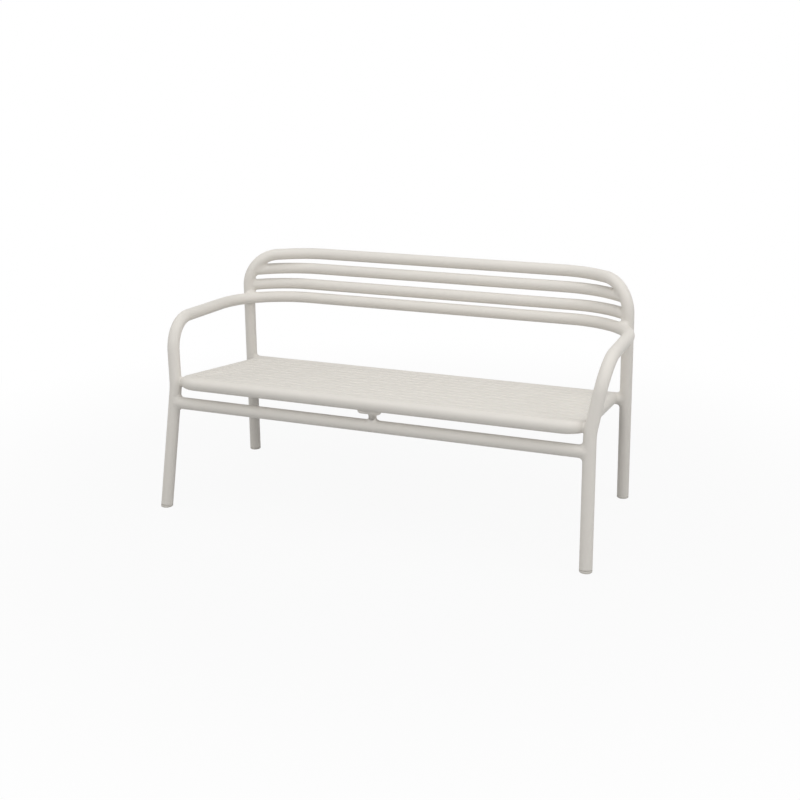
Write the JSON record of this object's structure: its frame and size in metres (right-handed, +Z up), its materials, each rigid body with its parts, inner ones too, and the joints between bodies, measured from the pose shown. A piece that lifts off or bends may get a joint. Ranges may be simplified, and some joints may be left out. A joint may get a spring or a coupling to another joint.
{
  "type": "stackable outdoor sofa",
  "caption": "Stackable outdoor sofa welded from bent round tube, with a slatted seat, a bowed back of stacked rails, looped armrests and splayed legs on push-in glides.",
  "frame": {"origin": "on the floor, at the middle of the overall width and depth", "axes": "+X along the seat to the sitter's left, which is the right seen from the front; +Y to the back; +Z up"},
  "size_m": [1.504, 0.778, 0.783],
  "materials": {
    "powder_coat": "matt powder coat, warm off-white",
    "glide": "moulded matt plastic, off-white"
  },
  "bodies": {
    "root": {"back_hoop": "powder_coat", "lower_back_rail": "powder_coat", "middle_back_rail": "powder_coat", "upper_back_rail": "powder_coat", "seat_frame": "powder_coat", "seat_rear_rail": "powder_coat", "seat_centre_bearer": "powder_coat", "front_stretcher": "powder_coat", "centre_post": "powder_coat", "post_weld": "powder_coat", "left_arm_and_front_leg": "powder_coat", "right_arm_and_front_leg": "powder_coat", "left_arm_weld": "powder_coat", "right_arm_weld": "powder_coat", "left_seat_corner_weld": "powder_coat", "right_seat_corner_weld": "powder_coat", "left_rear_rail_weld": "powder_coat", "right_rear_rail_weld": "powder_coat", "left_side_rail_weld": "powder_coat", "right_side_rail_weld": "powder_coat", "left_stretcher_weld": "powder_coat", "right_stretcher_weld": "powder_coat", "left_post_gusset": "powder_coat", "right_post_gusset": "powder_coat", "seat_slat_01": "powder_coat", "seat_slat_02": "powder_coat", "seat_slat_03": "powder_coat", "seat_slat_04": "powder_coat", "seat_slat_05": "powder_coat", "seat_slat_06": "powder_coat", "seat_slat_07": "powder_coat", "seat_slat_08": "powder_coat", "seat_slat_09": "powder_coat", "seat_slat_10": "powder_coat", "seat_slat_11": "powder_coat", "left_front_glide": "glide", "left_rear_glide": "glide", "right_front_glide": "glide", "right_rear_glide": "glide"}
  },
  "joints": []
}
